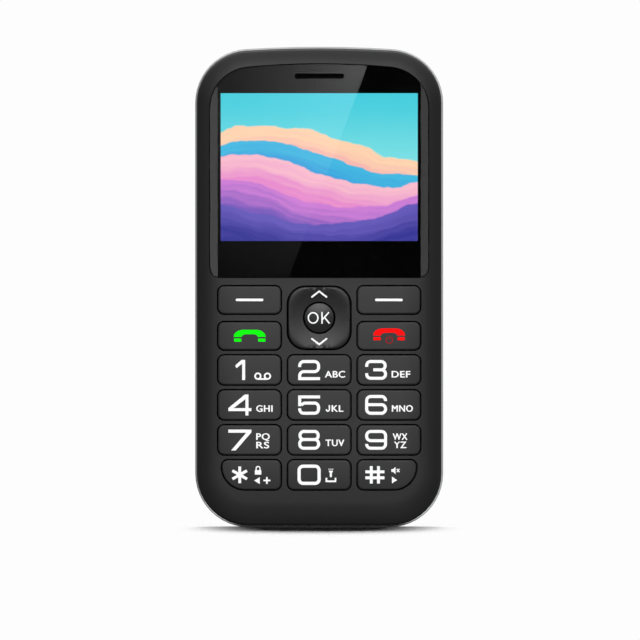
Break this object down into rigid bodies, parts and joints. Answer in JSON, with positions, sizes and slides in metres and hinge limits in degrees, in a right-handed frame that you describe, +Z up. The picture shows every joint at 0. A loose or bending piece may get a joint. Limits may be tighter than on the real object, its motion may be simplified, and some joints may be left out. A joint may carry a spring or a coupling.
{
  "type": "feature phone",
  "caption": "Bar-shaped feature phone with big raised keys, a rocker pad with a round middle key, a colour screen under a flush lens, a silver side band and a lift-off back.",
  "frame": {"origin": "middle of the foot: the bottom centre of the box round the standing phone", "axes": "+Z up along the phone's height, -Y out of the front face, +X to the right seen from the front"},
  "size_m": [0.0618, 0.014, 0.1196],
  "materials": {
    "shell": "fine spark-textured moulding",
    "lens": "clear hard-coated window",
    "tape": "adhesive frame",
    "band": "satin silver paint",
    "chassis": "plain moulding",
    "cover": "fine spark-textured moulding",
    "battery": "plain wrapped pack",
    "board": "green solder mask",
    "screen": "lit colour screen",
    "foam": "soft foam",
    "flex": "amber film",
    "mat": "milky silicone",
    "domes": "film over steel domes",
    "key": "smooth moulding",
    "sound": "moulded can",
    "mesh": "woven mesh",
    "steel": "plated steel",
    "brass": "gold-plated",
    "camera": "black body",
    "window": "clear disc",
    "led": "phosphor",
    "guide": "frosted light pipe",
    "socket": "black moulding"
  },
  "bodies": {
    "body": {"front_housing": "shell", "display_lens": "lens", "lens_tape": "tape", "side_band": "band", "chassis": "chassis", "battery": "battery", "main_board": "board", "display_module": "screen", "display_cushion": "foam", "display_flex": "flex", "keypad_mat": "mat", "dome_sheet": "domes", "earpiece": "sound", "earpiece_mesh": "mesh", "loudspeaker": "sound", "speaker_mesh": "mesh", "vibration_motor": "steel", "microphone": "brass", "camera_module": "camera", "flash_led": "led", "flash_guide": "guide", "charge_port": "steel", "audio_jack": "socket", "battery_contacts": "brass", "sim_holders": "steel", "card_holder": "steel", "shield_cans": "steel", "antenna": "brass", "screws": "steel"},
    "cover": {"rear_cover": "cover", "camera_window": "window"},
    "key_1": {"key_1": "key"},
    "key_2": {"key_2": "key"},
    "key_3": {"key_3": "key"},
    "key_4": {"key_4": "key"},
    "key_5": {"key_5": "key"},
    "key_6": {"key_6": "key"},
    "key_7": {"key_7": "key"},
    "key_8": {"key_8": "key"},
    "key_9": {"key_9": "key"},
    "key_star": {"key_star": "key"},
    "key_0": {"key_0": "key"},
    "key_hash": {"key_hash": "key"},
    "key_soft_left": {"key_soft_left": "key"},
    "key_soft_right": {"key_soft_right": "key"},
    "key_call": {"key_call": "key"},
    "key_end": {"key_end": "key"},
    "key_nav": {"key_nav": "key"},
    "key_ok": {"key_ok": "key"}
  },
  "joints": [
    {"name": "key_1_press", "type": "slide", "parent": "body", "child": "key_1", "axis": [0, 1, 0], "range_m": [0, 0.0003], "stiffness_N_per_m": 400, "springref_m": -0.0003},
    {"name": "key_2_press", "type": "slide", "parent": "body", "child": "key_2", "axis": [0, 1, 0], "range_m": [0, 0.0003], "stiffness_N_per_m": 400, "springref_m": -0.0003},
    {"name": "key_3_press", "type": "slide", "parent": "body", "child": "key_3", "axis": [0, 1, 0], "range_m": [0, 0.0003], "stiffness_N_per_m": 400, "springref_m": -0.0003},
    {"name": "key_4_press", "type": "slide", "parent": "body", "child": "key_4", "axis": [0, 1, 0], "range_m": [0, 0.0003], "stiffness_N_per_m": 400, "springref_m": -0.0003},
    {"name": "key_5_press", "type": "slide", "parent": "body", "child": "key_5", "axis": [0, 1, 0], "range_m": [0, 0.0003], "stiffness_N_per_m": 400, "springref_m": -0.0003},
    {"name": "key_6_press", "type": "slide", "parent": "body", "child": "key_6", "axis": [0, 1, 0], "range_m": [0, 0.0003], "stiffness_N_per_m": 400, "springref_m": -0.0003},
    {"name": "key_7_press", "type": "slide", "parent": "body", "child": "key_7", "axis": [0, 1, 0], "range_m": [0, 0.0003], "stiffness_N_per_m": 400, "springref_m": -0.0003},
    {"name": "key_8_press", "type": "slide", "parent": "body", "child": "key_8", "axis": [0, 1, 0], "range_m": [0, 0.0003], "stiffness_N_per_m": 400, "springref_m": -0.0003},
    {"name": "key_9_press", "type": "slide", "parent": "body", "child": "key_9", "axis": [0, 1, 0], "range_m": [0, 0.0003], "stiffness_N_per_m": 400, "springref_m": -0.0003},
    {"name": "key_star_press", "type": "slide", "parent": "body", "child": "key_star", "axis": [0, 1, 0], "range_m": [0, 0.0003], "stiffness_N_per_m": 400, "springref_m": -0.0003},
    {"name": "key_0_press", "type": "slide", "parent": "body", "child": "key_0", "axis": [0, 1, 0], "range_m": [0, 0.0003], "stiffness_N_per_m": 400, "springref_m": -0.0003},
    {"name": "key_hash_press", "type": "slide", "parent": "body", "child": "key_hash", "axis": [0, 1, 0], "range_m": [0, 0.0003], "stiffness_N_per_m": 400, "springref_m": -0.0003},
    {"name": "key_soft_left_press", "type": "slide", "parent": "body", "child": "key_soft_left", "axis": [0, 1, 0], "range_m": [0, 0.0003], "stiffness_N_per_m": 400, "springref_m": -0.0003},
    {"name": "key_soft_right_press", "type": "slide", "parent": "body", "child": "key_soft_right", "axis": [0, 1, 0], "range_m": [0, 0.0003], "stiffness_N_per_m": 400, "springref_m": -0.0003},
    {"name": "key_call_press", "type": "slide", "parent": "body", "child": "key_call", "axis": [0, 1, 0], "range_m": [0, 0.0003], "stiffness_N_per_m": 400, "springref_m": -0.0003},
    {"name": "key_end_press", "type": "slide", "parent": "body", "child": "key_end", "axis": [0, 1, 0], "range_m": [0, 0.0003], "stiffness_N_per_m": 400, "springref_m": -0.0003},
    {"name": "key_ok_press", "type": "slide", "parent": "body", "child": "key_ok", "axis": [0, 1, 0], "range_m": [0, 0.0003], "stiffness_N_per_m": 400, "springref_m": -0.0003},
    {"name": "key_nav_rock", "type": "hinge", "parent": "body", "child": "key_nav", "pos_m": [0, -0.00449, 0.05213], "axis": [1, 0, 0], "range_deg": [-2, 2], "stiffness_Nm_per_rad": 0.02},
    {"name": "cover_off", "type": "slide", "parent": "body", "child": "cover", "axis": [0, 1, 0], "range_m": [0, 0.03]}
  ]
}
